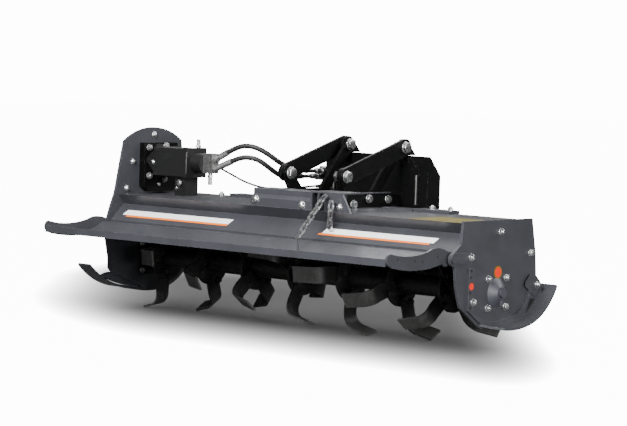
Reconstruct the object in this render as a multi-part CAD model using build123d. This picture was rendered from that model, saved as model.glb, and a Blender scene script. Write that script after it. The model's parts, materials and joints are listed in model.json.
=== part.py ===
"""Rotary tiller: a hydraulically driven, 1.65 m wide soil tiller carried on a quick coupling plate.

Machine axes while modelling: X along the rotor (drive side at -X), Y towards the carrier, Z up,
with the rotor's axis at Y = Z = 0, midway between the side plates. Lengths are in millimetres.
On writing, every piece is moved by one offset that puts the origin at the middle of the machine's
footprint, at the height it stands on.
"""
import os
from math import asin, atan2, cos, degrees, hypot, radians, sin, sqrt, tan

from build123d import *

# ---------------------------------------------------------------- driving dimensions
WIDTH = 1650.0          # outer face to outer face of the side plates
PLATE_T = 10.0          # side plates
SHEET_T = 5.0           # hood and tailboard sheet
DECK_Z = 239.0          # top of the hood's flat deck, above the rotor's axis
DECK_REAR = -188.0      # rear edge of the deck
DECK_FRONT = 191.0      # front edge of the deck
PLATE_TOP = 245.0       # top edge of the right side plate
LIP_Y = -220.0          # rear lip of the hood, in front of the tailboard's hinge

HINGE_Y, HINGE_Z = -242.0, 127.0   # tailboard's hinge axis
TAIL_REAR = -562.0      # rear edge of the tailboard
TAIL_GAP = 8.0          # from a side plate's inner face to the tailboard's end plate
EAR_T = 8.0             # tailboard's end plates
HINGE_TUBE_R = 12.0
HINGE_PIN_R = 8.0

FLANGES = 7             # tine flanges on the rotor
END_GAP_LEFT = 96.0     # from a side plate's outer face to the middle of the first flange
END_GAP_RIGHT = 182.0   # and from the last flange to the other plate
FLANGE_T = 12.0
FLANGE_R = 84.0
TUBE_R = 36.0           # rotor tube
STUB_R = 25.0           # rotor's end journals
TIP_R = 200.0           # circle that the tine tips sweep
TINE_T = 8.0
TINE_W = 60.0           # leg, along the sweep
TINE_REACH = 102.0      # from a tine's leg to its tip, along X
END_REACH = 75.0        # the same beside the left side plate
TINE_BEND = 50.0        # outer radius between leg and blade
HELIX = 22.5            # each ring is turned this much from the last
FIT = 0.3               # clearance between a piece and its bore

MOTOR_Y, MOTOR_Z = 8.0, 364.0      # drive motor's axis
HUB_HALF = 66.0         # half width of a rotor bearing's square flange

SKID_W = 63.0           # sole, outwards from the side plate
SKID_T = 8.0

HITCH_MID = -12.0       # the hitch stands this far from the middle, towards the drive
HITCH_X = 139.0         # half distance between the bolted faces of the two lift links
HITCH_T = 12.0
LINK_W = 62.0           # lift link's depth
LINK_LOW = (12.0, 352.0)
LINK_TOP = (337.0, 454.0)
PIN_R = 12.0
COUPLING_Y = 352.0      # coupling plate's rear face
COUPLING_HALF = 245.0   # half its width
COUPLING_TOP, COUPLING_FOOT = 424.0, 96.0
COUPLING_T = 12.0
FLANGE_DEPTH = 74.0     # from the plate's rear face to the front of its end flanges

HOSE_R = 9.5
DRAIN_R = 4.0

INNER = WIDTH / 2 - PLATE_T        # inner face of a side plate
OUTER = WIDTH / 2
nodes = {}


# ---------------------------------------------------------------- helpers
def outline(start, *steps):
    """Closed face. A step is a point, or a pair (point on the arc, end) for a round stretch."""
    here, edges = start, []
    for step in steps:
        if isinstance(step[0], tuple):
            edges.append(ThreePointArc(here, *step))
            here = step[1]
        else:
            edges.append(Line(here, step))
            here = step
    if here != start:
        edges.append(Line(here, start))
    face = make_face(edges).face()
    return Sketch() + (face if face.normal_at().Z > 0 else -face)


def plate(face, x, thickness):
    """A (y, z) face made into a plate whose -X side is at x."""
    return extrude(Plane.YZ.offset(x) * face, amount=thickness, dir=(1, 0, 0))


def strap(a, b, width):
    """Flat bar outline from a to b with round ends."""
    turn = degrees(atan2(b[1] - a[1], b[0] - a[0]))
    middle = ((a[0] + b[0]) / 2, (a[1] + b[1]) / 2)
    return Pos(*middle) * Rot(0, 0, turn) * SlotCenterToCenter(hypot(b[0] - a[0], b[1] - a[1]), width)


def folded(points, thickness):
    """Outline of sheet folded along an open line of (y, z) points, the sheet to the line's right."""
    inner = []
    for i, point in enumerate(points):
        before = points[max(i - 1, 0):i + 1] if i else points[0:2]
        after = points[i:i + 2] if i < len(points) - 1 else points[-2:]
        normals = []
        for a, b in (before, after):
            length = hypot(b[0] - a[0], b[1] - a[1])
            normals.append(((b[1] - a[1]) / length, -(b[0] - a[0]) / length))
        (ny, nz), (my, mz) = normals
        scale = thickness / (1 + ny * my + nz * mz)
        inner.append((point[0] + scale * (ny + my), point[1] + scale * (nz + mz)))
    return outline(points[0], *points[1:], *reversed(inner))


def box(x, y, z):
    """Block between the two limits given for each axis."""
    size = [b - a for a, b in (x, y, z)]
    return Pos(*[(a + b) / 2 for a, b in (x, y, z)]) * Box(*size)


def bar_x(radius, x0, x1, y, z):
    """Round bar along X."""
    return Pos((x0 + x1) / 2, y, z) * Rot(0, 90, 0) * Cylinder(radius, x1 - x0)


def bar_y(radius, y0, y1, x, z):
    """Round bar along Y."""
    return Pos(x, (y0 + y1) / 2, z) * Rot(90, 0, 0) * Cylinder(radius, y1 - y0)


def bar_z(radius, z0, z1, x, y):
    """Round bar along Z."""
    return Pos(x, y, (z0 + z1) / 2) * Cylinder(radius, z1 - z0)


def tube_along(points, radius):
    """Hose: straight runs joined by tangent arcs, each as large as its two runs allow."""
    radii = []
    for a, b, c in zip(points, points[1:], points[2:]):
        turn = (b - a).get_angle(c - b)
        radii.append(0.45 * min((b - a).length, (c - b).length) / tan(radians(turn / 2)))
    path = FilletPolyline(*points, radius=radii)
    print("hose of radius", radius, "length", round(path.length), "least bend", round(min(radii)))
    return sweep(Plane(origin=path @ 0, z_dir=path % 0) * Circle(radius), path=path)


# ---------------------------------------------------------------- hood and side plates
REAR_FOLD = [(LIP_Y, 112.0), (LIP_Y, 145.0), (-156.0, 202.0), (DECK_REAR, DECK_Z)]
FRONT_FOLD = [(DECK_FRONT, DECK_Z), (212.0, 128.0), (219.0, 50.0), (219.0, 6.0)]
nodes["hood"] = plate(folded(REAR_FOLD + FRONT_FOLD, SHEET_T), -INNER + FIT, 2 * (INNER - FIT))

# Both side plates share their front edge and the lug round the tailboard's hinge. The left one
# reaches lower and stands up as a tower that carries the drive.
FRONT_EDGE = [(DECK_FRONT, PLATE_TOP), (215.0, 128.0), (223.0, 44.0), (223.0, 0.0)]
LUG = ((HINGE_Y - 15, HINGE_Z), (-240.0, 142.0))
FOOT_RIGHT = [((150.0, -84.0), (30.0, -122.0)), (-60.0, -122.0),
              (-100.0, -108.0), (-196.0, -42.0), ((-218.0, 20.0), (-230.0, 98.0))]
FOOT_LEFT = [((150.0, -90.0), (30.0, -130.0)), (-20.0, -130.0),
             (-211.0, -51.0), (-224.0, -37.0), (-225.0, 1.0), (-242.0, 76.0)]
right = outline(*FRONT_EDGE, *FOOT_RIGHT, LUG, (-200.0, 169.0), (-190.0, PLATE_TOP))
TOWER = [(-222.0, 194.0), (-201.0, 244.0), (-176.0, 362.0), (-159.0, 438.0),
         ((-9.0, 489.0), (145.0, 440.0)), (150.0, 405.0), (165.0, PLATE_TOP + 20)]
left = outline(*FRONT_EDGE, *FOOT_LEFT, LUG, *TOWER)
HUB_BORE_R = 46.0
MOTOR_BORE_R = 40.0
hub_bore = Circle(HUB_BORE_R)
motor_bore = Pos(MOTOR_Y, MOTOR_Z) * Circle(MOTOR_BORE_R)
hinge_bore = Pos(HINGE_Y, HINGE_Z) * Circle(HINGE_PIN_R + FIT)
nodes["side_plate_right"] = plate(right - hub_bore - hinge_bore, INNER, PLATE_T)
nodes["side_plate_left"] = plate(left - hub_bore - motor_bore - hinge_bore, -OUTER, PLATE_T)

# The chain case covers the drive from the motor down to the rotor, on the outside of the tower.
CASE_R = 88.0
CASE_DEPTH = 55.0
case = strap((0.0, 0.0), (MOTOR_Y, MOTOR_Z), 2 * CASE_R)
nodes["chain_case"] = plate(case, -OUTER - CASE_DEPTH, CASE_DEPTH)

# ---------------------------------------------------------------- rotor bearings
HUB_T = 14.0
BEARING_R = 55.0
BEARING_DEPTH = 34.0
flange = fillet(Rectangle(2 * HUB_HALF, 2 * HUB_HALF).vertices(), 12.0)


def hub(side):
    """Square flanged bearing inside a side plate, side +1 at the right."""
    body = plate(flange, 0, HUB_T)
    body += bar_x(BEARING_R, 0, BEARING_DEPTH, 0, 0)
    body += bar_x(HUB_BORE_R - FIT, -PLATE_T, 0, 0, 0)
    body -= bar_x(STUB_R + FIT, -PLATE_T, BEARING_DEPTH, 0, 0)
    body = Rot(0, 0, 180) * body if side > 0 else body
    return Pos(side * INNER, 0, 0) * body


nodes["bearing_left"] = hub(-1)
nodes["bearing_right"] = hub(1)

# Dished cover and stub outside the right plate.
COVER_H = 20.0
STUB_END_R = 15.0
cover = Pos(OUTER, 0, 0) * Rot(0, 90, 0) * Cone(HUB_BORE_R + 4, STUB_END_R + 5, COVER_H,
                                                align=(Align.CENTER, Align.CENTER, Align.MIN))
cover += bar_x(STUB_END_R, OUTER + COVER_H, OUTER + COVER_H + 12, 0, 0)
nodes["bearing_cover"] = cover

# ---------------------------------------------------------------- rotor
flange_pitch = (WIDTH - END_GAP_LEFT - END_GAP_RIGHT) / (FLANGES - 1)
flange_x = [-OUTER + END_GAP_LEFT + i * flange_pitch for i in range(FLANGES)]
shaft = bar_x(TUBE_R, -INNER + BEARING_DEPTH + 3, INNER - BEARING_DEPTH - 3, 0, 0)
shaft += bar_x(STUB_R, -INNER - PLATE_T / 2, INNER + PLATE_T / 2, 0, 0)
nodes["rotor_shaft"] = shaft

# A tine's leg hangs down the flange's face and bends outwards, and the blade slopes on to its tip.
LEG_TOP = 44.0          # inner end of a tine's leg, from the rotor's axis
BEND_TURN = radians(75.0)      # from leg to blade
RELIEF = radians(15.0)         # the blade rises from its cutting edge to its trailing edge
CUTTING, TRAILING = -15.0, 42.0    # the tip's two corners, from the leg's middle line
tip_z = -sqrt(TIP_R ** 2 - CUTTING ** 2) - CUTTING * tan(RELIEF)


def tine(side, reach):
    """One tine pointing down, bent towards side (+1 or -1 along X)."""
    start = -tip_z - TINE_BEND * sin(BEND_TURN) - (reach - TINE_BEND * (1 - cos(BEND_TURN))) / tan(BEND_TURN)

    def turn(radius, share):
        """Point on the bend, at the given share of its turn."""
        angle = share * BEND_TURN
        return TINE_BEND - radius * cos(angle), -start - radius * sin(angle)

    inside = TINE_BEND - TINE_T
    rise = (TINE_T * cos(BEND_TURN), TINE_T * sin(BEND_TURN))
    section = outline((0.0, -LEG_TOP), (0.0, -start), (turn(TINE_BEND, 0.5), turn(TINE_BEND, 1)),
                      (reach, tip_z), (reach + rise[0], tip_z + rise[1]), turn(inside, 1),
                      (turn(inside, 0.5), (TINE_T, -start)), (TINE_T, -LEG_TOP))
    bent = extrude(Plane.XZ * section, amount=2 * TINE_W, both=True, dir=(0, cos(RELIEF), sin(RELIEF)))
    half = TINE_W / 2
    knee, low = -0.6 * TIP_R, -TIP_R - 2 * TINE_T
    side_view = outline((-half, -LEG_TOP), (-half, knee), (CUTTING, -TIP_R), (CUTTING, low), (TRAILING, low),
                        (TRAILING, tip_z), (half, knee), (half, -LEG_TOP))
    blade = Pos(FLANGE_T / 2, 0, 0) * (bent & plate(side_view, -TINE_T, reach + 3 * TINE_T))
    return blade if side > 0 else mirror(blade, about=Plane.YZ)


# Each ring's lowest tine bends towards this side (+1 idle side). The first and second rings, and
# the fifth and sixth, hold their cutting corners half a step each side of straight down.
LOWEST_SIDE = (-1, -1, -1, 1, 1, 1, 1)
phase = degrees(asin(-CUTTING / TIP_R)) - HELIX / 2
for i, (lowest_side, x) in enumerate(zip(LOWEST_SIDE, flange_x)):
    ring = bar_x(FLANGE_R, -FLANGE_T / 2, FLANGE_T / 2, 0, 0)
    ring -= bar_x(TUBE_R + FIT, -FLANGE_T, FLANGE_T, 0, 0)
    lowest = (phase + i * HELIX + 45) % 90 - 45
    for k in range(4):
        side = lowest_side if k % 2 == 0 else -lowest_side
        reach = END_REACH if i == 0 and side < 0 else TINE_REACH
        ring += Rot(lowest + 90 * k, 0, 0) * tine(side, reach)
    nodes[f"tine_ring_{i + 1}"] = Pos(x, 0, 0) * ring

# ---------------------------------------------------------------- tailboard
EAR_OUT = INNER - TAIL_GAP
TAIL_LIP = 24.0
PEG_X, PEG_Y = 240.0, -351.8        # peg that holds the chain's last link
PEG_R, PEG_FOOT, PEG_TOP = 4.0, 108.0, 176.0
line = [(TAIL_REAR, 134.0 - TAIL_LIP), (TAIL_REAR, 134.0), (-344.0, 110.0), (-275.0, 140.0),
        (HINGE_Y, HINGE_Z + HINGE_TUBE_R - 2)]
sheet = plate(folded(line, SHEET_T), -EAR_OUT + EAR_T, 2 * (EAR_OUT - EAR_T))
knuckle = bar_x(HINGE_TUBE_R, -EAR_OUT + EAR_T, EAR_OUT - EAR_T, HINGE_Y, HINGE_Z)
bore = bar_x(HINGE_PIN_R + FIT, -OUTER, OUTER, HINGE_Y, HINGE_Z)
nodes["tailboard"] = sheet + knuckle + bar_z(PEG_R, PEG_FOOT, PEG_TOP, PEG_X, PEG_Y) - bore

EAR_R = 16.0            # ear's round front end, about the hinge
ear = outline((-552.0, 113.0), ((-562.0, 132.0), (-545.0, 151.0)),
              ((-440.0, 139.0), (-350.0, 151.0)), ((-290.0, 160.0), (HINGE_Y, HINGE_Z + EAR_R)),
              ((HINGE_Y + EAR_R, HINGE_Z), (HINGE_Y, HINGE_Z - EAR_R)),
              ((-258.0, 98.0), (-275.0, 108.0)), ((-430.0, 92.0), (-535.0, 105.0)))
ear -= Pos(HINGE_Y, HINGE_Z) * Circle(HINGE_PIN_R + FIT)
nodes["tail_end_left"] = plate(ear, -EAR_OUT, EAR_T)
nodes["tail_end_right"] = plate(ear, EAR_OUT - EAR_T, EAR_T)

# Hinge pins: a strap bolted on each side plate carries the pin into the tailboard's tube.
STRAP_T = 8.0
strap_face = strap((HINGE_Y, HINGE_Z), (-157.0, 125.0), 34.0)
for name, side in (("left", -1), ("right", 1)):
    x = OUTER if side > 0 else -OUTER - STRAP_T
    piece = plate(strap_face, x, STRAP_T)
    ends = sorted((side * OUTER, side * (EAR_OUT - 60)))
    piece += bar_x(HINGE_PIN_R, *ends, HINGE_Y, HINGE_Z)
    nodes[f"hinge_pin_{name}"] = piece

# ---------------------------------------------------------------- skids
# Each skid is a flange bolted outside its plate, with a sole welded under it. The right one turns
# up towards the carrier, and the left one turns up at the rear.
def skid(side, sole, flange, corner):
    """Skid on side (+1 right), its sole cut off slantwise through the corner (y, outwards)."""
    inner = OUTER if side > 0 else -OUTER - SKID_W
    piece = plate(sole, inner, SKID_W)
    piece -= Pos(side * (OUTER + SKID_W), corner, 0) * Rot(0, 0, 45) * Box(84.0, 84.0, 400.0)
    return piece + plate(flange, OUTER + FIT if side > 0 else -OUTER - FIT - SKID_T, SKID_T)


sole_right = outline((-92.0, -108.0), ((0.0, -122.0), (120.0, -108.0)), ((205.0, -60.0), (262.0, 14.0)),
                     (256.0, 20.0), ((198.0, -54.0), (116.0, -100.0)), ((0.0, -114.0), (-92.0, -100.0)))
flange_right = outline((-150.0, 90.0), (-136.0, 90.0), (-136.0, -66.0),
                       ((-40.0, -92.0), (60.0, -86.0)), ((150.0, -48.0), (186.0, 20.0)),
                       (214.0, 48.0), (252.0, 12.0), (230.0, -36.0),
                       ((150.0, -88.0), (116.0, -99.5)), ((0.0, -113.5), (-92.0, -99.5)),
                       (-164.0, -52.0), (-164.0, 90.0))
sole_left = outline((92.0, -124.0), ((0.0, -134.0), (-107.0, -118.0)), ((-236.0, -84.0), (-315.0, -26.0)),
                    (-309.0, -20.0), ((-231.0, -77.0), (-105.0, -110.0)), ((0.0, -126.0), (92.0, -116.0)))
flange_left = outline((164.0, 90.0), (164.0, -60.0), (92.0, -115.5), ((0.0, -125.5), (-105.0, -109.5)),
                      ((-190.0, -91.0), (-254.0, -64.0)), ((-220.0, -54.0), (-166.0, -62.0)),
                      ((-60.0, -98.0), (136.0, -74.0)), (136.0, 90.0), (150.0, 90.0))
nodes["skid_right"] = skid(1, sole_right, flange_right, -92.0)
nodes["skid_left"] = skid(-1, sole_left, flange_left, 92.0)

# ---------------------------------------------------------------- drive motor
MOUNT_T = 28.0
mount = outline((-78.0, 431.0), (96.0, 431.0), (96.0, 262.0), (78.0, 247.0), (-50.0, 247.0), (-78.0, 266.0))
nodes["motor_mount"] = plate(mount, -INNER, MOUNT_T)

# The stack along X: length of each piece, from the mount's face to the ports.
ADAPTER_T, HOUSING_L, MOTOR_FLANGE_T, MOTOR_L, BLOCK_L = 8.0, 161.0, 18.0, 50.0, 46.0
HOUSING_W, HOUSING_H = 100.0, 105.0
MOTOR_RIM = 3.0         # the motor's flange stands out from the housing by this
MOTOR_R = 37.0
BLOCK_W, BLOCK_H = 38.0, 73.0
BLOCK_RISE, BLOCK_SHIFT = 2.0, 2.0      # its middle lies this much higher and further forward
x0 = -INNER + MOUNT_T
x1 = x0 + ADAPTER_T
x2 = x1 + HOUSING_L
x3 = x2 + MOTOR_FLANGE_T
x4 = x3 + MOTOR_L
x5 = x4 + BLOCK_L
adapter = chamfer(Rectangle(154.0, 124.0).vertices(), 56.0, 50.0)
nodes["motor_adapter"] = plate(Pos(MOTOR_Y, MOTOR_Z) * adapter, x0, ADAPTER_T)
housing_face = Pos(MOTOR_Y, MOTOR_Z) * Rectangle(HOUSING_W, HOUSING_H)
nodes["motor_housing"] = plate(housing_face, x1, HOUSING_L)
rim_face = Pos(MOTOR_Y, MOTOR_Z) * Rectangle(HOUSING_W + 2 * MOTOR_RIM, HOUSING_H + 2 * MOTOR_RIM)
nodes["hydraulic_motor"] = plate(rim_face, x2, MOTOR_FLANGE_T) + bar_x(MOTOR_R, x3, x4, MOTOR_Y, MOTOR_Z)
block_face = Pos(MOTOR_Y + BLOCK_SHIFT, MOTOR_Z + BLOCK_RISE) * Rectangle(BLOCK_W, BLOCK_H)
nodes["port_block"] = plate(block_face, x4, BLOCK_L)
rim_top = MOTOR_Z + HOUSING_H / 2 + MOTOR_RIM
block_foot = MOTOR_Z + BLOCK_RISE - BLOCK_H / 2
nodes["fitting_up"] = bar_z(7.0, rim_top, rim_top + 32, (x2 + x3) / 2, MOTOR_Y + 18)
nodes["fitting_down"] = bar_z(8.0, block_foot - 44, block_foot, (x4 + x5) / 2, MOTOR_Y)
FOOT_W, FOOT_DEPTH = 58.0, 64.0
foot_x = x2 - 2.0 - FOOT_W / 2
foot = box((foot_x - FOOT_W / 2, foot_x + FOOT_W / 2), (MOTOR_Y - FOOT_DEPTH / 2, MOTOR_Y + FOOT_DEPTH / 2),
           (DECK_Z, MOTOR_Z - HOUSING_H / 2))
foot += bar_y(13.0, MOTOR_Y - FOOT_DEPTH / 2 - 8, MOTOR_Y, foot_x, DECK_Z + 48)
nodes["motor_foot"] = foot

# ---------------------------------------------------------------- deck furniture
BOX_REAR, BOX_FRONT, BOX_H = -180.0, -70.0, 62.0
BOX_LEFT, BOX_RIGHT = -145.0, 138.0
STEP_Y = BOX_REAR + 16.0        # the box's rear steps in here, below its top edge
RIB_T = 8.0
RIBS = (BOX_RIGHT, 171.0, 204.0)
BRACKET_TOP_X, BRACKET_FOOT_X = 285.0, 324.0
box_top = DECK_Z + BOX_H
box_section = outline((BOX_REAR, DECK_Z), (BOX_REAR, box_top - 32), (STEP_Y, box_top - 20),
                      (STEP_Y, box_top), (BOX_FRONT, box_top), (BOX_FRONT, DECK_Z))
nodes["deck_box"] = plate(box_section, BOX_LEFT, BOX_RIGHT - BOX_LEFT)

# Chain bracket: ribs, a rear plate and a cover, with the hooks that carry the chains.
HOOK_R = 3.5
HOOK_L = 34.0
HOOKS = {"hold": (220.0, 290.0), "spare": (254.0, 273.0)}
rear_plate = outline((RIBS[2], DECK_Z), (RIBS[2], box_top), (BRACKET_TOP_X, box_top), (BRACKET_FOOT_X, DECK_Z))
bracket = extrude(Plane.XZ.offset(-BOX_REAR) * rear_plate, amount=RIB_T, dir=(0, 1, 0))
bracket += box((BOX_RIGHT, BRACKET_TOP_X), (BOX_REAR, BOX_FRONT), (box_top, box_top + 5))
for x in RIBS:
    bracket += box((x, x + RIB_T), (BOX_REAR, BOX_FRONT), (DECK_Z, box_top))
for x, z in HOOKS.values():
    bracket += bar_y(HOOK_R, BOX_REAR - HOOK_L, BOX_REAR, x, z)
nodes["chain_bracket"] = bracket

# Flat bars on the front of the deck: near end and far end from the hitch's middle, and thickness.
RAILS = [(222.0, 362.0, 8.0), (366.0, 523.0, 12.0)]
RAIL_REAR, RAIL_FRONT = 125.0, 188.0
rails = []
for side in (-1, 1):
    for near, far, thick in RAILS:
        limits = sorted((HITCH_MID + side * near, HITCH_MID + side * far))
        rails.append(box(limits, (RAIL_REAR, RAIL_FRONT), (DECK_Z, DECK_Z + thick)))
nodes["deck_rails"] = Compound(children=rails)

# ---------------------------------------------------------------- hitch
bracket_face = outline((-18.0, 352.0), ((12.0, 382.0), (42.0, 352.0)), (88.0, 296.0), (262.0, 287.0),
                       ((274.0, 281.0), (279.0, 268.0)), (279.0, DECK_Z), (55.0, DECK_Z))
bracket_face -= Pos(*LINK_LOW) * Circle(PIN_R + FIT)
lug_face = outline((COUPLING_Y, 380.0), (312.0, 436.0), ((325.0, 480.0), (360.0, 478.0)),
                   (412.0, COUPLING_TOP), (COUPLING_Y, COUPLING_TOP))
link_face = strap(LINK_LOW, LINK_TOP, LINK_W)
for point in (LINK_LOW, LINK_TOP):
    link_face -= Pos(*point) * Circle(PIN_R + FIT)
lug_face -= Pos(*LINK_TOP) * Circle(PIN_R + FIT)
ARM_REAR, ARM_FOOT, ARM_TOP = 150.0, 245.0, 285.0
arm = outline((ARM_REAR, ARM_FOOT), (COUPLING_Y, ARM_FOOT), (COUPLING_Y, ARM_TOP), (ARM_REAR, ARM_TOP))
brace_face = arm + strap((200.0, 290.0), LINK_TOP, 44.0) - Pos(*LINK_TOP) * Circle(PIN_R + FIT)


def layer(side, depth):
    """X of the -X side of a hitch plate that lies this many plates inside its link."""
    inner = HITCH_X - depth * HITCH_T
    return HITCH_MID + (inner if side > 0 else -inner - HITCH_T)


PIN_OVER = 8.0          # a pin stands out this far at both ends
for name, side in (("left", -1), ("right", 1)):
    nodes[f"lift_link_{name}"] = plate(link_face, layer(side, 0), HITCH_T)
    nodes[f"hitch_bracket_{name}"] = plate(bracket_face, layer(side, 1), HITCH_T)
    nodes[f"hitch_lug_{name}"] = plate(lug_face, layer(side, 1), HITCH_T)
    nodes[f"hitch_brace_{name}"] = plate(brace_face, layer(side, 2), HITCH_T)
    ends = sorted((HITCH_MID + side * (HITCH_X - 2 * HITCH_T - PIN_OVER),
                   HITCH_MID + side * (HITCH_X + HITCH_T + PIN_OVER)))
    for end, point in (("low", LINK_LOW), ("top", LINK_TOP)):
        nodes[f"hitch_pin_{end}_{name}"] = bar_x(PIN_R, *ends, *point)

coupling_left, coupling_right = HITCH_MID - COUPLING_HALF, HITCH_MID + COUPLING_HALF
coupling_front = COUPLING_Y + FLANGE_DEPTH
END_T = 10.0
face = box((coupling_left, coupling_right), (COUPLING_Y, COUPLING_Y + COUPLING_T),
           (COUPLING_FOOT, COUPLING_TOP))
end = outline((COUPLING_Y, COUPLING_TOP), (COUPLING_Y, COUPLING_FOOT), (coupling_front, COUPLING_FOOT),
              (coupling_front, COUPLING_TOP - 70), (COUPLING_Y + COUPLING_T, COUPLING_TOP))
face += plate(end, coupling_left, END_T) + plate(end, coupling_right - END_T, END_T)
LOCK_X, LOCK_Z, LOCK_R = 190.0, 130.0, 12.5      # holes for the carrier's locking pins
GUSSET_T = 8.0
gusset = outline((153.0, 415.0), (172.0, 415.0), (208.0, 366.0), (208.0, 246.0), (190.0, 246.0), (190.0, 358.0))
for side in (-1, 1):
    face -= bar_y(LOCK_R, COUPLING_Y - 1, COUPLING_Y + COUPLING_T + 1, HITCH_MID + side * LOCK_X, LOCK_Z)
    flat = extrude(Plane.XZ.offset(-COUPLING_Y) * gusset, amount=GUSSET_T, dir=(0, -1, 0))
    face += Pos(HITCH_MID, 0, 0) * (flat if side > 0 else mirror(flat, about=Plane.YZ))
nodes["coupling_plate"] = face

# ---------------------------------------------------------------- hoses
# Quick couplers beside the coupling plate's left flange: distance out from it, Z, largest radius and
# where the stem starts. Each has a stem, a body, a collar, a neck through the holder and a nipple for
# the carrier's hose.
COUPLERS = {"upper": (23.0, 347.0, 14.0, 272.0), "lower": (46.0, 326.0, 14.0, 272.0),
            "drain": (18.0, 290.0, 8.0, 306.0)}
BODY_Y, COLLAR_Y, HOLDER_Y, NECK_Y, NIPPLE_Y = 322.0, 350.0, 386.0, 396.0, 420.0
HOLDER_T = 8.0
HOLDER_FOOT, HOLDER_STEP, HOLDER_TOP = 276.0, 310.0, 363.0
HOLDER_LOW_W, HOLDER_W = 30.0, 61.0
holder_y = (HOLDER_Y, HOLDER_Y + HOLDER_T)
holder = box((coupling_left - HOLDER_W, coupling_left), holder_y, (HOLDER_STEP, HOLDER_TOP))
holder += box((coupling_left - HOLDER_LOW_W, coupling_left), holder_y, (HOLDER_FOOT, HOLDER_STEP))
couplers = []
for out, z, radius, stem_y in COUPLERS.values():
    x = coupling_left - out
    coupler = bar_y(0.5 * radius, stem_y, BODY_Y, x, z) + bar_y(0.75 * radius, BODY_Y, COLLAR_Y, x, z)
    coupler += bar_y(radius, COLLAR_Y, HOLDER_Y, x, z) + bar_y(0.75 * radius, HOLDER_Y, NECK_Y, x, z)
    coupler += bar_y(0.6 * radius, NECK_Y, NIPPLE_Y, x, z)
    couplers.append(coupler)
    holder -= bar_y(0.75 * radius + FIT, HOLDER_Y - 1, HOLDER_Y + HOLDER_T + 1, x, z)
nodes["couplers"] = Compound(children=couplers)
nodes["coupler_holder"] = holder

# Hose routes, from where the swaged end stops to the last point before the coupler's stem. X is the
# share of the way from the port block to that stem, and Y and Z are in millimetres.
ROUTES = {
    "upper": (HOSE_R, [(0.210, 27, 410), (0.371, 37, 431), (0.554, 50, 439), (0.728, 68, 430), (0.879, 95, 405),
                       (0.964, 131, 377), (1.009, 174, 361), (1.022, 224, 353)]),
    "lower": (HOSE_R, [(0.358, 23, 378), (0.517, 32, 393), (0.692, 47, 396), (0.846, 67, 386), (0.960, 91, 362),
                       (1.020, 127, 337), (1.035, 171, 324), (1.010, 223, 324)]),
    "drain": (DRAIN_R, [(0.054, 24, 350), (0.190, 25, 338), (0.340, 27, 326), (0.500, 36, 309),
                        (0.640, 54, 296), (0.764, 78, 286), (0.852, 114, 282), (0.917, 154, 281),
                        (0.965, 203, 284), (0.996, 256, 288)]),
}
AHEAD = 400.0
ends = []
for (out, z, _, stem_y), (name, (radius, points)) in zip(COUPLERS.values(), ROUTES.items()):
    stem_x = coupling_left - out
    route = [Vector(x5 + share * (stem_x - x5), y, height) for share, y, height in points]
    begin, then = route[:2]
    along = (then - begin).normalized()
    root = begin + along * ((x5 - begin.X) / along.X)
    back = 2 * radius
    swage = Plane(origin=root - along * back, z_dir=along) * Cylinder(
        1.2 * radius, (begin - root).length + back, align=(Align.CENTER, Align.CENTER, Align.MIN))
    swage &= Pos(x5, 0, 0) * Box(AHEAD, AHEAD, 4 * AHEAD, align=(Align.MIN, Align.CENTER, Align.CENTER))
    nut = bar_x(1.35 * radius, x5, x5 + radius, root.Y, root.Z)
    ends.append(nut + swage)
    hose = tube_along([*route, Vector(stem_x, stem_y, z)], radius)
    nodes[f"hose_{name}"] = hose - bar_y(2 * radius, stem_y, BODY_Y, stem_x, z)
nodes["hose_ends"] = Compound(children=ends)

# ---------------------------------------------------------------- chains
WIRE = 5.5
LINK_IN = 31.0          # inside length of a chain link
LINK_IN_W = 11.0


def chain(hook, towards, links):
    """Straight run of links from a hook's axis, each link turned a quarter from the last."""
    start = Vector(*hook)
    along = (Vector(*towards) - start).normalized()
    ring = SlotOverall(LINK_IN + 2 * WIRE, LINK_IN_W + 2 * WIRE) - SlotOverall(LINK_IN, LINK_IN_W)
    link = extrude(ring, amount=WIRE / 2, both=True)
    slant = asin(abs(along.Y))
    first = LINK_IN / 2 - (HOOK_R + WIRE / 2 * sin(slant)) / cos(slant) - FIT
    across = Vector(0, 1, 0).cross(along).normalized()
    pieces = []
    for i in range(links):
        spot = Plane(origin=start + along * (first + i * (LINK_IN - FIT)), x_dir=along,
                     z_dir=along.cross(across))
        pieces.append(spot * Rot(90 * (i % 2), 0, 0) * link)
    return Compound(children=pieces)


CHAIN_Y = BOX_REAR - 22.0
HOLD_LINKS = 7
spare_x, spare_z = HOOKS["spare"]
hold_x, hold_z = HOOKS["hold"]
HOLD_END = (PEG_X, PEG_Y + 2, 164.0)
nodes["chain_spare"] = chain((spare_x, CHAIN_Y, spare_z), (spare_x - 4, CHAIN_Y - 2, 160.0), 3)
nodes["chain_hold"] = chain((hold_x, CHAIN_Y, hold_z), HOLD_END, HOLD_LINKS)

# ---------------------------------------------------------------- write the pieces
whole = Compound(children=[Compound(piece.wrapped) for piece in nodes.values()])
limits = whole.bounding_box()
offset = Pos(-limits.center().X, -limits.center().Y, -limits.min.Z)
print("offset", [round(v, 3) for v in offset.position])
print("size", [round(v, 1) for v in limits.size])
os.makedirs("parts", exist_ok=True)
for name, piece in nodes.items():
    export_step(offset * piece, f"parts/{name}.step")
print(len(nodes), "pieces written")
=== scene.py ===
# %% [markdown]
# # Rotary tiller
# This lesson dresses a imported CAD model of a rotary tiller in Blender. The CAD pieces already have
# their real size and place, so the work here is the camera, the hoses, the finishes, the hardware
# and the light. Everything is in metres: X runs along the rotor, Y points to the carrier, Z is up.

# %% Load the frame
import bmesh
import bpy
import json
from math import cos, pi, radians, sin
from mathutils import Matrix, Vector
from mathutils.bvhtree import BVHTree


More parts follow.
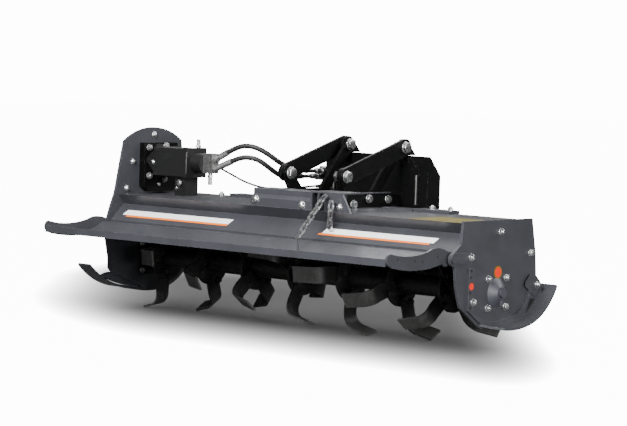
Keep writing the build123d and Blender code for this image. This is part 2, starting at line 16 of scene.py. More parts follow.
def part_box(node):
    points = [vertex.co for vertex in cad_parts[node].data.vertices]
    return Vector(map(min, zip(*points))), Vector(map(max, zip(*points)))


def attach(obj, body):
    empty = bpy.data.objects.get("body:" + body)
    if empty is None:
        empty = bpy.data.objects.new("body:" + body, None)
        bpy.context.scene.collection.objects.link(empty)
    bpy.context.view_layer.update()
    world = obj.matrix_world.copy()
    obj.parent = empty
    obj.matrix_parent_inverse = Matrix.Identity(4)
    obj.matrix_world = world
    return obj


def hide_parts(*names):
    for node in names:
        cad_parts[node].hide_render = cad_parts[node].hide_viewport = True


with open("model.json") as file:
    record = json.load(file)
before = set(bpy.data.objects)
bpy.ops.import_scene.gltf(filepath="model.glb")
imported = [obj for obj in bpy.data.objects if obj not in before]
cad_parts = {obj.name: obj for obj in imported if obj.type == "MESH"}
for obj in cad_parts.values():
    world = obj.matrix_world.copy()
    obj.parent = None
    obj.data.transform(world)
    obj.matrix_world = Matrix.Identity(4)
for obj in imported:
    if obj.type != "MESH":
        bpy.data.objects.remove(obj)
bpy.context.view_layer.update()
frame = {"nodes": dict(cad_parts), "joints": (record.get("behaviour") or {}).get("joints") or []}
nodes = frame["nodes"]
joints = {joint["name"]: joint for joint in frame["joints"]}
AXIS = Vector(joints["rotor_spin"]["pos_m"])
MM = 0.001
print("pieces:", len(nodes), "rotor axis:", tuple(AXIS))


def at(x, y, z):
    """World place of a point given in millimetres from the middle of the rotor's axis."""
    return AXIS + Vector((x, y, z)) * MM


# %% [markdown]
# ## Camera
# The machine is seen from behind and a little above, from its idle side, with a long lens a good
# distance away, so that parallel edges stay nearly parallel. The turn and the tilt are set as three
# plain rotations: round the machine, down towards it, and a slight roll.

# %% Camera
LENS_MM, DISTANCE = 138.3, 8.621
LOOKS_AT = (-3, 0, 215)         # millimetres from the middle of the rotor's axis
TURN, TILT, ROLL = radians(41.258), radians(3.629), radians(1.756)
camera_data = bpy.data.cameras.new("camera")
camera_data.lens = LENS_MM
camera = bpy.data.objects.new("camera", camera_data)
bpy.context.scene.collection.objects.link(camera)
look = (Matrix.Rotation(TURN, 4, "Z") @ Matrix.Rotation(pi / 2 - TILT, 4, "X")
        @ Matrix.Rotation(ROLL, 4, "Z"))
camera.matrix_world = Matrix.Translation(at(*LOOKS_AT)) @ look @ Matrix.Translation((0, 0, DISTANCE))
bpy.context.scene.camera = camera
print("camera at", tuple(round(v, 3) for v in camera.matrix_world.translation))

# %% [markdown]
# ## Hoses
# Two pressure hoses and a thin drain line run from the motor's port block to the couplers beside the
# coupling plate. A hose could be swept as a mesh, but a curve with a round bevel keeps one smooth
# centreline that is easy to edit. A NURBS spline of order 3 turns the listed points into the line
# that a stiff rubber hose takes between its two fittings. The points repeat the CAD route: X is a
# share of the way from the ports to the coupler's stem, and Y and Z are millimetres from the axis.
# The bevel is one metre deep and each point's radius shrinks it to the hose's own, because a curve's
# bounding box grows by the radius of its points, which otherwise is one metre.

# %% Hoses as cords
ports_x = (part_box("port_block")[1].x - AXIS.x) / MM
flange_x = (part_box("coupling_plate")[0].x - AXIS.x) / MM
# Each hose: its radius, how far out from the plate its stem stands, the height and depth of its end
# there, and its route.
HOSES = {
    "upper": (9.5, 23, 347, 272, [(0.210, 27, 410), (0.371, 37, 431), (0.554, 50, 439), (0.728, 68, 430),
                                  (0.879, 95, 405), (0.964, 131, 377), (1.009, 174, 361), (1.022, 224, 353)]),
    "lower": (9.5, 46, 326, 272, [(0.358, 23, 378), (0.517, 32, 393), (0.692, 47, 396), (0.846, 67, 386),
                                  (0.960, 91, 362), (1.020, 127, 337), (1.035, 171, 324), (1.010, 223, 324)]),
    "drain": (4.0, 18, 290, 306, [(0.054, 24, 350), (0.190, 25, 338), (0.340, 27, 326), (0.500, 36, 309),
                                  (0.640, 54, 296), (0.764, 78, 286), (0.852, 114, 282), (0.917, 154, 281),
                                  (0.965, 203, 284), (0.996, 256, 288)]),
}
hose_objects = []
for name, (radius, out, end_z, end_y, route) in HOSES.items():
    stem_x = flange_x - out
    places = [at(ports_x + share * (stem_x - ports_x), y, z) for share, y, z in route]
    places.append(at(stem_x, end_y, end_z))
    curve = bpy.data.curves.new(f"hose_{name}_rubber", "CURVE")
    curve.dimensions = "3D"
    curve.bevel_depth = 1
    curve.bevel_resolution = 5
    curve.resolution_u = 10
    spline = curve.splines.new("NURBS")
    spline.points.add(len(places) - 1)
    for point, place in zip(spline.points, places):
        point.co = (*place, 1)
        point.radius = radius * MM
    spline.order_u = 3
    spline.use_endpoint_u = True
    hose = bpy.data.objects.new(f"hose_{name}_rubber", curve)
    bpy.context.scene.collection.objects.link(hose)
    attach(hose, "frame")
    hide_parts(f"hose_{name}")
    hose_objects.append(hose)
print("hoses:", [hose.name for hose in hose_objects])

# %% [markdown]
# ## Material helpers
# Colours are written as sRGB hex codes and turned into scene colours by one function. A second small
# function adds a shader node and fills its sockets, so that each material below stays readable.
# Patterns are sized in millimetres on object coordinates, so a scratch is the same size on every piece.

# %% Material helpers
def linear(code):
    """Scene colour of an sRGB hex code."""
    values = [int(code[i:i + 2], 16) / 255 for i in (1, 3, 5)]
    return (*[v / 12.92 if v <= 0.04045 else ((v + 0.055) / 1.055) ** 2.4 for v in values], 1)


def add(tree, kind, sockets=(), **settings):
    """New shader node; each socket gets a value, or a link from another node's output."""
    node = tree.nodes.new("ShaderNode" + kind)
    for key, value in settings.items():
        setattr(node, key, value)
    for key, value in dict(sockets).items():
        if isinstance(value, bpy.types.NodeSocket):
            tree.links.new(value, node.inputs[key])
        else:
            node.inputs[key].default_value = value
    return node


def noise(tree, size, detail=3.0, roughness=0.55):
    """Soft noise from 0 to 1 whose blotches are this many millimetres across."""
    where = add(tree, "TexCoord").outputs["Object"]
    texture = add(tree, "TexNoise", {"Vector": where, "Scale": 1 / (size * MM), "Detail": detail,
                                     "Roughness": roughness})
    return texture.outputs["Fac"]


def remap(tree, value, low, high, to_low=0.0, to_high=1.0):
    """Value stretched from one range to another, and clamped there."""
    return add(tree, "MapRange", {"Value": value, "From Min": low, "From Max": high,
                                  "To Min": to_low, "To Max": to_high}).outputs["Result"]


def blend_colours(tree, factor, first, second):
    """Colour that goes from first to second with the factor."""
    return add(tree, "Mix", {0: factor, 6: first, 7: second}, data_type="RGBA").outputs[2]


def times(tree, first, second, operation="MULTIPLY"):
    """Result of one Math node on two values."""
    return add(tree, "Math", {0: first, 1: second}, operation=operation).outputs[0]


FLAT, SHARP = 0.97, 0.80         # cosine between the rounded and the true normal


def edges(tree, width):
    """1 on sharp edges that lie within this many millimetres, 0 on flat stretches."""
    rounded = add(tree, "Bevel", {"Radius": width * MM}, samples=4).outputs["Normal"]
    flat = add(tree, "NewGeometry").outputs["Normal"]
    facing = add(tree, "VectorMath", {0: rounded, 1: flat}, operation="DOT_PRODUCT").outputs["Value"]
    return remap(tree, facing, FLAT, SHARP)


def upward(tree):
    """1 where a face looks up, 0 where it is upright or looks down."""
    normal = add(tree, "NewGeometry").outputs["Normal"]
    return remap(tree, add(tree, "SeparateXYZ", {0: normal}).outputs["Z"], 0.35, 0.95)


def new_material(name):
    """Material with its node tree and its main shader."""
    material = bpy.data.materials.new(name)
    material.use_nodes = True
    tree = material.node_tree
    return material, tree, tree.nodes["Principled BSDF"]


def connect(tree, shader, **links):
    """Links outputs to the shader's sockets, whose names are written with underscores."""
    for key, value in links.items():
        tree.links.new(value, shader.inputs[key.replace("_", " ")])


def bump(tree, height, strength, distance):
    """Bump from a height, its full depth in millimetres."""
    sockets = {"Height": height, "Strength": strength, "Distance": distance * MM}
    return add(tree, "Bump", sockets).outputs["Normal"]


# %% [markdown]
# ## Paints
# The body has a glossy blue-grey powder coat. A flat grey would look like plastic, so the coat gets
# broad patches of slightly different tone, a fine orange peel, a little dust where a face looks up,
# and lighter metal where an edge has been knocked. The hitch and drive carry a satin black coat that
# is built the same way, but is rougher and reflects less.

# %% Paints
CHIPPED_METAL = "#8d9095"


def paint(name, tone, dark_tone, dust_tone, gloss, dust, wear, shine):
    """Powder coat: two tones, its dust, its roughness, how worn its edges are and how much it reflects."""
    material, tree, shader = new_material(name)
    patches = remap(tree, noise(tree, 140, 4), 0.35, 0.65)
    colour = blend_colours(tree, patches, linear(dark_tone), linear(tone))
    specks = remap(tree, noise(tree, 9, 5, 0.7), 0.55, 0.75)
    settled = times(tree, remap(tree, noise(tree, 60, 5, 0.65), 0.3, 0.8), upward(tree))
    amount = times(tree, times(tree, settled, times(tree, specks, 0.6, "ADD")), dust)
    colour = blend_colours(tree, amount, colour, linear(dust_tone))
    chips = times(tree, edges(tree, 1.6), remap(tree, noise(tree, 14, 4, 0.7), 0.45, 0.62))
    chips = times(tree, chips, wear)
    colour = blend_colours(tree, chips, colour, linear(CHIPPED_METAL))
    polish = remap(tree, noise(tree, 30, 4), 0.3, 0.7, gloss, gloss + 0.1)
    rough = times(tree, polish, times(tree, amount, 0.3), "ADD")
    connect(tree, shader, Base_Color=colour, Roughness=rough,
            Normal=bump(tree, noise(tree, 1.8, 2), 0.25, 0.05))
    shader.inputs["Specular IOR Level"].default_value = shine
    return material


grey_paint = paint("blue_grey_powder_coat", "#3a3b40", "#343539", "#5e5c58", 0.30, 0.12, 0.7, 0.35)
black_paint = paint("satin_black_powder_coat", "#050505", "#020202", "#2a2825", 0.42, 0.12, 0.3, 0.15)
print("paints:", grey_paint.name, black_paint.name)

# %% [markdown]
# ## Worn and bare metal
# The rotor was painted black and has been in the ground. Its paint is gone from the blades, where the
# soil scours them, and stays near the axis, so the wear is driven by the distance from the axis.
# Screws, pins, chains and couplers are zinc plated: a bright metal with a slightly uneven finish.

# %% Rotor and plated metal
RAGGED = 12 * MM                 # how far the edge of the worn part strays
SCRATCH, STRETCH = 10 / 9, 0.05  # millimetres between scratches, drawn 1 / 0.05 times as long


def rotor_metal(name, worn_from, worn_to, dust):
    """Black paint scoured to steel, between two distances from the rotor's axis in millimetres."""
    material, tree, shader = new_material(name)
    where = add(tree, "TexCoord").outputs["Object"]
    away = add(tree, "VectorMath", {0: where, 1: tuple(AXIS)}, operation="SUBTRACT").outputs["Vector"]
    across = add(tree, "VectorMath", {0: away, 1: (0, 1, 1)}, operation="MULTIPLY").outputs["Vector"]
    distance = add(tree, "VectorMath", {0: across}, operation="LENGTH").outputs["Value"]
    uneven = remap(tree, noise(tree, 22, 5, 0.65), 0.3, 0.7, -RAGGED, RAGGED)
    worn = remap(tree, times(tree, distance, uneven, "ADD"), worn_from * MM, worn_to * MM)
    worn = times(tree, worn, times(tree, edges(tree, 2.5), 0.35), "ADD")
    faded = remap(tree, noise(tree, 45, 5, 0.65), 0.35, 0.7)
    painted = blend_colours(tree, faded, linear("#0e0e0e"), linear("#1c1c1b"))
    soiled = times(tree, remap(tree, noise(tree, 16, 6, 0.7), 0.4, 0.7), dust)
    painted = blend_colours(tree, soiled, painted, linear("#34322f"))
    steel = blend_colours(tree, noise(tree, 12, 5, 0.7), linear("#454544"), linear("#6c6c6b"))
    drawn_out = add(tree, "Mapping", {0: where, 3: (1, STRETCH, STRETCH)}).outputs[0]
    scratch = add(tree, "TexNoise", {"Vector": drawn_out, "Scale": 1 / (SCRATCH * MM), "Detail": 2.0})
    relief = times(tree, scratch.outputs["Fac"], noise(tree, 5, 4), "ADD")
    connect(tree, shader, Base_Color=blend_colours(tree, worn, painted, steel),
            Metallic=times(tree, worn, 0.4), Roughness=remap(tree, worn, 0, 1, 0.55, 0.42),
            Normal=bump(tree, relief, 0.35, 0.12))
    return material


def plated(name, tone, dark_tone, gloss):
    """Zinc plate with blotches of two tones."""
    material, tree, shader = new_material(name)
    blotches = remap(tree, noise(tree, 7, 4, 0.6), 0.35, 0.65)
    connect(tree, shader, Base_Color=blend_colours(tree, blotches, linear(dark_tone), linear(tone)),
            Roughness=remap(tree, noise(tree, 3, 3), 0.3, 0.7, gloss, gloss + 0.15),
            Normal=bump(tree, noise(tree, 1.2, 2), 0.15, 0.04))
    shader.inputs["Metallic"].default_value = 1.0
    return material


blade_steel = rotor_metal("scoured_tine_steel", 135, 185, 0.25)
tube_steel = rotor_metal("dusty_rotor_tube", 400, 500, 0.85)     # 400 mm is out of reach: never scoured
zinc = plated("bright_zinc_plate", "#f4f4f4", "#c9cbcc", 0.2)
dull_zinc = plated("dull_zinc_plate", "#bcbdbc", "#868886", 0.32)
print("metals:", blade_steel.name, tube_steel.name, zinc.name)

# %% [markdown]
# ## Rubber, vinyl and castings
# The hoses have a black rubber cover with a faint grain. The stripes on the hood are printed vinyl:
# even in colour, smooth, with light grime. The motor's castings and the bearings are cast iron under
# thin black paint, and the cover on the idle side is cast iron under grey. The weld beads use the
# same rough finish, in the colours of bare and browned metal.

# %% Rubber, vinyl and castings
def rubber(name):
    """Black rubber with a fine grain."""
    material, tree, shader = new_material(name)
    worn = remap(tree, noise(tree, 18, 4, 0.6), 0.4, 0.75)
    connect(tree, shader, Base_Color=blend_colours(tree, worn, linear("#050505"), linear("#101011")),
            Roughness=remap(tree, noise(tree, 8, 3), 0.3, 0.7, 0.5, 0.65),
            Normal=bump(tree, noise(tree, 0.9, 2), 0.2, 0.05))
    return material


def vinyl(name, tone, grime_tone):
    """Printed vinyl film with light grime."""
    material, tree, shader = new_material(name)
    grime = remap(tree, noise(tree, 26, 5, 0.7), 0.5, 0.85, 0, 0.45)
    connect(tree, shader, Base_Color=blend_colours(tree, grime, linear(tone), linear(grime_tone)),
            Roughness=remap(tree, noise(tree, 12, 3), 0.3, 0.7, 0.3, 0.42))
    return material


def casting(name, tone, dark_tone):
    """Slightly rough cast surface, of two tones."""
    material, tree, shader = new_material(name)
    colour = blend_colours(tree, noise(tree, 20, 5, 0.6), linear(dark_tone), linear(tone))
    connect(tree, shader, Base_Color=colour, Roughness=remap(tree, noise(tree, 6, 3), 0.3, 0.7, 0.42, 0.6),
            Normal=bump(tree, noise(tree, 1.6, 4, 0.7), 0.5, 0.15))
    return material


hose_rubber = rubber("black_hose_rubber")
white_vinyl = vinyl("white_stripe_vinyl", "#fbfbfb", "#e4e4e2")
orange_vinyl = vinyl("orange_stripe_vinyl", "#ee7400", "#d06000")
red_vinyl = vinyl("orange_red_mark_vinyl", "#e02404", "#b02a10")
yellow_vinyl = vinyl("yellow_sign_vinyl", "#6e610e", "#4c451a")
grey_casting = casting("grey_painted_casting", "#3c3e45", "#313339")
black_casting = casting("black_painted_casting", "#0a0a0b", "#060607")
weld_metal = casting("bare_weld_bead", "#6e6d6a", "#2a2927")
# Painted shade: black discs and plates that stand for the dark inside small holes and a gap.
painted_shade = rubber("painted_hole_and_gap_shade")            # thin discs of this stand for small holes
for hose in hose_objects:
    hose.data.materials.append(hose_rubber)
print("soft and cast:", hose_rubber.name, white_vinyl.name, grey_casting.name)

# %% [markdown]
# ## Dressing the CAD pieces
# Every CAD piece takes the finish of what it is. A small live bevel rounds the edges of plates,
# since a real edge catches the light and a perfectly sharp one never does. It changes no mesh.

# %% CAD pieces
FINISHES = {
    grey_paint: ("hood", "side_plate_right", "side_plate_left", "chain_case", "tailboard", "tail_end_left",
                 "tail_end_right", "skid_right", "skid_left", "deck_box", "chain_bracket", "deck_rails",
                 "hinge_pin_left", "hinge_pin_right"),
    black_paint: ("motor_mount", "hitch_bracket_left", "hitch_bracket_right", "lift_link_left",
                  "lift_link_right", "hitch_lug_left", "hitch_lug_right", "hitch_brace_left",
                  "hitch_brace_right", "coupling_plate", "coupler_holder"),
    black_casting: ("motor_adapter", "motor_housing", "hydraulic_motor", "motor_foot", "bearing_left",
                    "bearing_right"),
    grey_casting: ("bearing_cover",),
    dull_zinc: ("port_block", "hose_ends", "fitting_up", "fitting_down", "couplers"),
    zinc: ("hitch_pin_low_left", "hitch_pin_low_right", "hitch_pin_top_left", "hitch_pin_top_right",
           "chain_hold", "chain_spare"),
    tube_steel: ("rotor_shaft",),
    blade_steel: tuple(name for name in nodes if name.startswith("tine_ring")),
    hose_rubber: ("hose_upper", "hose_lower", "hose_drain"),
}
PLATE_ROUNDING = 0.9             # millimetres, as are the ones below
ROUND_EDGES = {"chain_hold": 1.8, "chain_spare": 1.8, "port_block": 2.0, "motor_housing": 5.0,
               "hydraulic_motor": 3.0, "motor_foot": 3.0}
for material, names in FINISHES.items():
    for name in names:
        piece = nodes[name]
        piece.data.materials.clear()
        piece.data.materials.append(material)
        rounding = piece.modifiers.new("rounded edges", "BEVEL")
        rounding.width = ROUND_EDGES.get(name, PLATE_ROUNDING) * MM
        rounding.segments = 2
        rounding.limit_method = "ANGLE"
        rounding.angle_limit = radians(35)
print("dressed:", sum(len(names) for names in FINISHES.values()))

# %% [markdown]
# ## Fasteners
# A machine like this is held together by hexagon bolts and nuts, and their heads are much of what
# the eye reads as real. Each kind is modelled once as a small prototype that stands along Z, from
# cones with a rounded rim, and is then copied to its places. To seat a head exactly, a ray is sent at
# the CAD pieces from outside, and the head sits where the ray lands.

# %% Fastener prototypes
def prototype(*parts):
    """Mesh of a fastener that stands along Z; each part is radius, bottom, top, sides and rounding."""
    bm = bmesh.new()
    for radius, low, high, sides, rounding in parts:
        made = bmesh.ops.create_cone(bm, cap_ends=True, segments=sides, radius1=radius * MM,
                                     radius2=radius * MM, depth=(high - low) * MM)["verts"]
        bmesh.ops.translate(bm, vec=(0, 0, (low + high) / 2 * MM), verts=made)
        middle = (low + high) / 2 * MM
        rim = {edge for vert in made for edge in vert.link_edges if min(v.co.z for v in edge.verts) > middle}
        bmesh.ops.bevel(bm, geom=list(rim), offset=rounding * MM, offset_type="OFFSET", segments=3,
                        profile=0.5, affect="EDGES", material=-1)
    mesh = bpy.data.meshes.new("prototype")
    bm.to_mesh(mesh)
    bm.free()
    return mesh


def hexagon(across, high, washer, thread=0.0):
    """Hexagon head on a washer, with the end of its thread standing out where one is given."""
    parts = [(washer / 2, -0.5, 2.2, 28, 0.4), (across / 3 ** 0.5, 2.0, 2.2 + high, 6, 0.14 * across / 2)]
    if thread:
        parts.append((across * 0.3, 2.0, 2.2 + high + thread, 20, 1.0))
    return prototype(*parts)


def domed(across, high):
    """Round cap with a strongly rounded rim."""
    return prototype((across / 2 + 2, -0.5, 1.2, 28, 0.4), (across / 2, 0.0, high, 28, 0.85 * high))


big_head = hexagon(36, 12, 44)
pin_nut = hexagon(34, 12, 0.1, 7)                # its washer is as good as none
bolt_20 = hexagon(20, 8, 26, 4)
bolt_18 = hexagon(19, 8, 25, 5)
bolt_24 = hexagon(25, 9, 31)
cap_20 = domed(22, 9)
cap_26 = domed(28, 11)
screw_10 = prototype((6, -0.5, 5, 20, 1.2), (3.2, 4.6, 5.2, 6, 0.2))
print("prototypes:", [len(mesh.vertices) for mesh in (big_head, bolt_20, cap_20, screw_10)])


# %% Copies on the surface
shells = {}
for name, piece in nodes.items():
    if not name.startswith("hose_"):
        corners = [vert.co for vert in piece.data.vertices]
        shells[name] = BVHTree.FromPolygons(corners, [face.vertices for face in piece.data.polygons])
missed = []
TWIST = 0.55                     # radians from one head to the next, so that no two stand alike
RIGHT, LEFT, REAR, UP = (1, 0, 0), (-1, 0, 0), (0, -1, 0), (0, 0, 1)


def seat(spot, axis, only=None, reach=70):
    """Where a line along the axis first meets a CAD piece, coming from outside."""
    axis = Vector(axis)
    start = spot + axis * reach * MM
    landed = [shells[name].ray_cast(start, -axis, 2 * reach * MM)[0] for name in only or shells]
    found = [place for place in landed if place]
    if not found:
        missed.append(tuple(round(v, 3) for v in spot))
        return spot
    return min(found, key=lambda place: (place - start).length)


def finish_mesh(bm, name, material, body="frame", smooth=30):
    """Object at the origin from a bmesh, with its finish and the body it rides on."""
    bmesh.ops.recalc_face_normals(bm, faces=bm.faces)
    mesh = bpy.data.meshes.new(name)
    bm.to_mesh(mesh)
    bm.free()
    mesh.materials.append(material)
    for polygon in mesh.polygons:
        polygon.use_smooth = True
    mesh.set_sharp_from_angle(angle=radians(smooth))
    piece = bpy.data.objects.new(name, mesh)
    bpy.context.scene.collection.objects.link(piece)
    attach(piece, body)
    return piece


def scatter(name, shape, spots, material, body="frame"):
    """One object with a copy of the shape at each place, facing its axis."""
    bm = bmesh.new()
    for number, (place, axis) in enumerate(spots):
        start = len(bm.verts)
        bm.from_mesh(shape)
        bm.verts.ensure_lookup_table()
        facing = Vector(axis).to_track_quat("Z", "Y").to_matrix().to_4x4()
        turned = Matrix.Rotation(TWIST * number, 4, "Z")
        bmesh.ops.transform(bm, matrix=Matrix.Translation(place) @ facing @ turned, verts=bm.verts[start:])
    return finish_mesh(bm, name, material, body)


def on_side(x, places, axis=RIGHT, only=None):
    """Seats on an upright side face, for places given as Y and Z in millimetres."""
    return [(seat(at(x, y, z), axis, only), axis) for y, z in places]


# X of the faces that carry bolts, and the bolts' Y and Z, all in millimetres from the axis.
SIDE, TOWER, MOUNT, ADAPTER = 825, -815, -787, -779
PLATE_BOLTS = [(12, 206), (184, 128), (-140, -24), (216, 18)]
HUB_RIGHT = [(-49, 49), (49, 49), (-49, -49), (49, -49)]
HUB_LEFT = [(-65, 50), (65, 50), (-65, -50), (65, -50)]
LUG = [(-157, 126)]
TOWER_CAPS = [(-3, 460), (-111, 359), (-140, 260)]
MOUNT_BOLTS = [(-57, 413), (25, 419), (-54, 307), (27, 294)]
MOUNT_SCREWS = [(31, 399), (-1, 274)]
scatter("plate_bolts", bolt_18, on_side(SIDE, PLATE_BOLTS), zinc)
scatter("hub_bolts_right", bolt_18, on_side(SIDE, HUB_RIGHT), zinc)
scatter("lug_bolts", bolt_20, on_side(SIDE, LUG) + on_side(-SIDE, LUG, LEFT), zinc)
scatter("tower_caps", cap_20, on_side(TOWER, TOWER_CAPS), zinc)
scatter("hub_bolts_left", bolt_18, on_side(TOWER, HUB_LEFT), dull_zinc)
scatter("mount_bolts", bolt_20, on_side(MOUNT, MOUNT_BOLTS), dull_zinc)
scatter("adapter_bolts", cap_20, on_side(ADAPTER, [(-34, 359)]), zinc)
scatter("small_screws", screw_10, on_side(MOUNT, MOUNT_SCREWS), zinc)
print("seated; missed:", missed)

# %% [markdown]
# The pins of the lifting linkage end in big bright heads on one side and in nuts on the other. Their
# places are read from the CAD pins, whose boxes give the axis and both ends.

# %% Linkage hardware
heads, nuts = [], []
SUNK = 9 * MM                    # how far in from the pin's ends the heads and nuts start
for name in ("hitch_pin_low_left", "hitch_pin_low_right", "hitch_pin_top_left", "hitch_pin_top_right"):
    low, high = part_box(name)
    middle = (low + high) / 2
    heads.append((Vector((high.x - SUNK, middle.y, middle.z)), RIGHT))
    nuts.append((Vector((low.x + SUNK, middle.y, middle.z)), LEFT))
scatter("pin_heads", big_head, heads, zinc)
scatter("pin_nuts", pin_nut, nuts, dull_zinc)
BRACKET = [(65, 252), (149, 271), (257, 266)]
right_bracket = on_side(127, BRACKET, only=("hitch_bracket_right",))
left_bracket = on_side(-151, BRACKET, LEFT, ("hitch_bracket_left",))
scatter("bracket_bolts", bolt_24, right_bracket + left_bracket, zinc)
print("linkage hardware:", len(heads) + len(nuts) + len(right_bracket + left_bracket))

# %% Deck hardware
box_places = [(99, -181, 253), (-120, -181, 262)]
scatter("box_cap", cap_26, [(seat(at(*place), REAR), REAR) for place in box_places], zinc)
scatter("rib_bolt", cap_20, [(seat(at(273, -180, 257), REAR), REAR)], zinc)
deck_places = [(x, 150) for x in (-600, -350, 420, 500)]
scatter("deck_bolts", bolt_18, [(seat(at(x, y, 239), UP), UP) for x, y in deck_places], dull_zinc)
print("deck hardware; missed:", missed)

# %% [markdown]
# ## Drive and hitch details
# Small things make the drive believable: the hexagons that a spanner turns on each fitting, the cap
# on the foot's clamping bolt and a pale strip on the motor's flange edge, a painted highlight. A weld is
# a row of puddles that overlap, so the bead is made as a row of flattened spheres along the seam.

# %% Drive and hitch details
fitting_hex = prototype((10.5, 0.0, 9.0, 6, 1.2))
small_hex = prototype((8.0, 0.0, 6.0, 6, 0.8))
scatter("fitting_hexes", fitting_hex, [(at(-609, 26, 421), UP), (at(-527, 8, 313), UP)], dull_zinc)
scatter("nipple_hexes", small_hex, [(at(-609, 26, 436), UP), (at(-527, 8, 300), UP)], dull_zinc)
scatter("foot_cap", domed(22, 5), [(seat(at(-649, -60, 287), REAR), REAR)], dull_zinc)
scatter("foot_screw", screw_10, [(seat(at(-668, -60, 266), REAR), REAR)], zinc)
block_screws = on_side(-504, [(-3, 336), (22, 340)], RIGHT, ("port_block",))
scatter("block_screws", prototype((4, -0.5, 3, 20, 0.8)), block_screws, zinc)


def slab(name, low, high, material):
    """Plate with rounded edges between two corners in millimetres."""
    bm = bmesh.new()
    bmesh.ops.create_cube(bm, size=1)
    size = Vector(high) - Vector(low)
    placed = Matrix.Translation(at(*(Vector(low) + size / 2))) @ Matrix.Diagonal((*(size * MM), 1))
    bmesh.ops.transform(bm, matrix=placed, verts=bm.verts)
    bmesh.ops.bevel(bm, geom=list(bm.edges), offset=0.6 * MM, offset_type="OFFSET", segments=2,
                    profile=0.5, affect="EDGES", material=-1)
    return finish_mesh(bm, name, material)


slab("bracket_lip_right", (115, 96, 289), (134, 266, 293), grey_paint)
slab("bracket_lip_left", (-158, 96, 289), (-139, 266, 293), grey_paint)
# A strip of plated metal on the flange's edge is a painted highlight, where the edge catches the light.
flange_y = (seat(at(-609, -90, 340), REAR).y - AXIS.y) / MM
slab("flange_edge_painted_highlight", (-604, flange_y - 0.6, 324), (-600, flange_y + 1, 404), dull_zinc)


def bead(name, start, end, radius, material):
    """Weld bead between two places: flattened spheres, each 0.8 of a radius on from the last."""
    bm = bmesh.new()
    count = int((end - start).length / (0.8 * radius * MM))
    for number in range(count):
        first = len(bm.verts)
        bmesh.ops.create_icosphere(bm, subdivisions=2, radius=radius * MM)
        bm.verts.ensure_lookup_table()
        size = 1 + 0.18 * sin(number * 2.4)
        place = Matrix.Translation(start.lerp(end, number / (count - 1)))
        bmesh.ops.transform(bm, matrix=place @ Matrix.Diagonal((size, 0.6 * size, size, 1)),
                            verts=bm.verts[first:])
    return finish_mesh(bm, name, material, smooth=60)


def weld_seat(x, z):
    """Place on the rear of the coupling plate."""
    return seat(at(x, 344, z), REAR, ("coupling_plate",))


WELD_FOOT, WELD_TOP, WELD_RADIUS = 250, 352, 3.5
for side, x in (("right", 186), ("left", -210)):
    bead(f"weld_gusset_{side}", weld_seat(x, WELD_FOOT), weld_seat(x, WELD_TOP), WELD_RADIUS, weld_metal)
print("details; missed:", missed)

# %% [markdown]
# ## Tine bolts
# Each tine is clamped to its flange by two bolts, so that a worn one can be changed. The rings are
# turned against each other; each ring's first angle is listed, and the other three follow at
# quarter turns on alternate sides of the flange.

# %% Tine bolts
RING_ANGLES = (-6.95, 15.55, 38.05, -29.45, -6.95, 15.55, 38.05)
RING_SIDES = (-1, -1, -1, 1, 1, 1, 1)            # which side of its flange a ring's first tine is on
FIRST_RING, RING_PITCH = -729, 228.67            # X of the first flange, and from one to the next
BOLT_PLACES = ((52, -14), (74, 14))              # out along the tine, and across it
HEAD_SIDE, NUT_SIDE = 14, 6                      # from the flange's middle plane
tine_spots = []
for ring, (first, side) in enumerate(zip(RING_ANGLES, RING_SIDES)):
    middle_x = FIRST_RING + ring * RING_PITCH
    for quarter in range(4):
        angle, out = radians(first + 90 * quarter), side if quarter % 2 == 0 else -side
        for reach, aside in BOLT_PLACES:
            y = reach * sin(angle) + aside * cos(angle)
            z = -reach * cos(angle) + aside * sin(angle)
            tine_spots.append((at(middle_x + out * HEAD_SIDE, y, z), (out, 0, 0)))
            tine_spots.append((at(middle_x - out * NUT_SIDE, y, z), (-out, 0, 0)))
scatter("tine_bolts", hexagon(19, 8, 24), tine_spots, tube_steel, "rotor")
print("tine bolts:", len(tine_spots))

# %% [markdown]
# ## Stripes and signs
# The stripes on the hood are strips of printed film. Each is a thin plate laid on the sloping sheet,
# a third of a millimetre off it, with its ends cut on a slant. A round mark and a smaller one sit on
# the right side plate, and a yellow sign on the deck. None of them carries words or marks.
# The small holes in the plates are thin black discs of painted shade, since they are too small to look
# into, and the brace behind the right skid is a thin plate laid on it, with painted shade in its gap.

# %% Stripes and signs
SLOPE = Vector((0, -64, -57)).normalized()      # down the hood's sloping band
OUTWARD = Vector((0, -57, 64)).normalized()     # away from that band
TOP_EDGE = (-156, 202)


FILM = 0.2                       # thickness in millimetres


def thicken(bm, faces, outward):
    """Extrudes flat faces to the thickness of a film."""
    grown = bmesh.ops.extrude_face_region(bm, geom=faces)["geom"]
    verts = [part for part in grown if isinstance(part, bmesh.types.BMVert)]
    bmesh.ops.translate(bm, vec=outward * FILM * MM, verts=verts)


def film(name, corners, outward, material, lift=0.35):
    """Thin plate of film through its corners, pushed out from the surface."""
    bm = bmesh.new()
    face = bm.faces.new([bm.verts.new(corner + outward * lift * MM) for corner in corners])
    thicken(bm, [face], outward)
    return finish_mesh(bm, name, material)


def on_band(x, down):
    """Point of the band, this many millimetres down its slope."""
    return at(x, *TOP_EDGE) + SLOPE * down * MM


